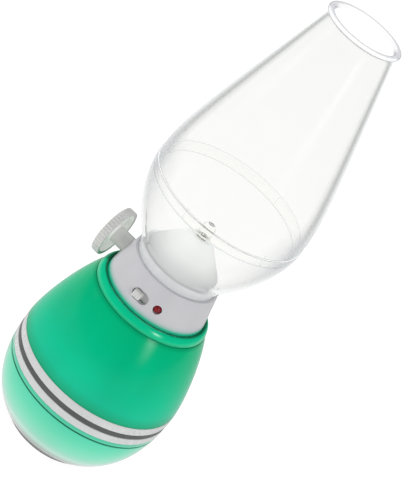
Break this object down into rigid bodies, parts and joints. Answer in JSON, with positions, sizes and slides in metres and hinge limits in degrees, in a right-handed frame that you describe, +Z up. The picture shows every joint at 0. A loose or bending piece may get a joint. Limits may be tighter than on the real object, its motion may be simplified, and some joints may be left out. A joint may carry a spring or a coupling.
{
  "type": "blow-controlled desk lamp",
  "caption": "Rechargeable desk lamp shaped like an oil lamp: green egg-shaped base, white collar with switch and dimmer knob, clear chimney.",
  "frame": {"origin": "centre of the rubber foot on the surface the lamp stands on", "axes": "+Z up along the lamp's axis, -Y towards the slide switch, -X towards the dimmer knob, +Y towards the charging socket"},
  "size_m": [0.0636, 0.0636, 0.1905],
  "materials": {
    "black_rubber": "matte",
    "dark_plastic": "satin",
    "screw_steel": "zinc plated",
    "ballast_iron": "bare",
    "pale_green_plastic": "translucent pale green, polished",
    "green_plastic": "translucent green, polished",
    "white_plastic": "white, polished",
    "grey_plastic": "dark grey, satin",
    "inner_white_plastic": "moulded, unpolished",
    "cell_sleeve": "shrink sleeve",
    "nickel_strip": "nickel plated",
    "wire_sleeve": "PVC sleeve",
    "collar_plastic": "very pale grey, satin",
    "circuit_board": "solder mask",
    "white_board": "white solder mask",
    "socket_shell": "nickel plated",
    "black_plastic": "moulded",
    "switch_plastic": "moulded grey",
    "slider_plastic": "moulded white",
    "red_led": "tinted epoxy",
    "shaft_steel": "turned",
    "knob_plastic": "pale grey-white, satin",
    "led_phosphor": "phosphor under clear resin",
    "capsule_aluminium": "drawn can",
    "diffuser_plastic": "frosted white",
    "clear_led": "clear epoxy",
    "clear_plastic": "clear polished plastic"
  },
  "bodies": {
    "base": {"rubber_foot": "black_rubber", "base_plate": "dark_plastic", "base_screws": "screw_steel", "ballast_ring": "ballast_iron", "lower_shell": "pale_green_plastic", "band_ring": "white_plastic", "stripe_ring": "grey_plastic", "upper_shell": "green_plastic", "trim_ring": "green_plastic", "battery_cradle": "inner_white_plastic", "battery": "cell_sleeve", "battery_contacts": "nickel_strip", "battery_wires": "wire_sleeve", "collar": "collar_plastic", "main_board": "circuit_board", "board_screws": "screw_steel", "usb_socket": "socket_shell", "switch_body": "switch_plastic", "charge_led": "red_led", "dimmer_pot": "black_plastic", "lamp_board": "white_board", "lamp_leds": "led_phosphor", "microphone": "capsule_aluminium", "lamp_wires": "wire_sleeve", "diffuser_cone": "diffuser_plastic", "flame_led": "clear_led"},
    "slider": {"switch_slider": "slider_plastic"},
    "knob": {"dimmer_shaft": "shaft_steel", "dimmer_knob": "knob_plastic"},
    "chimney": {"chimney_bowl": "clear_plastic", "chimney_flue": "clear_plastic"}
  },
  "joints": [
    {"name": "knob_turn", "type": "hinge", "parent": "base", "child": "knob", "pos_m": [-0.0241, 0, 0.0756], "axis": [-1, 0, 0], "range_deg": [-150, 150]},
    {"name": "switch_slide", "type": "slide", "parent": "base", "child": "slider", "axis": [1, 0, 0], "range_m": [0, 0.002]},
    {"name": "chimney_lift", "type": "slide", "parent": "base", "child": "chimney", "axis": [0, 0, 1], "range_m": [0, 0.03]}
  ]
}
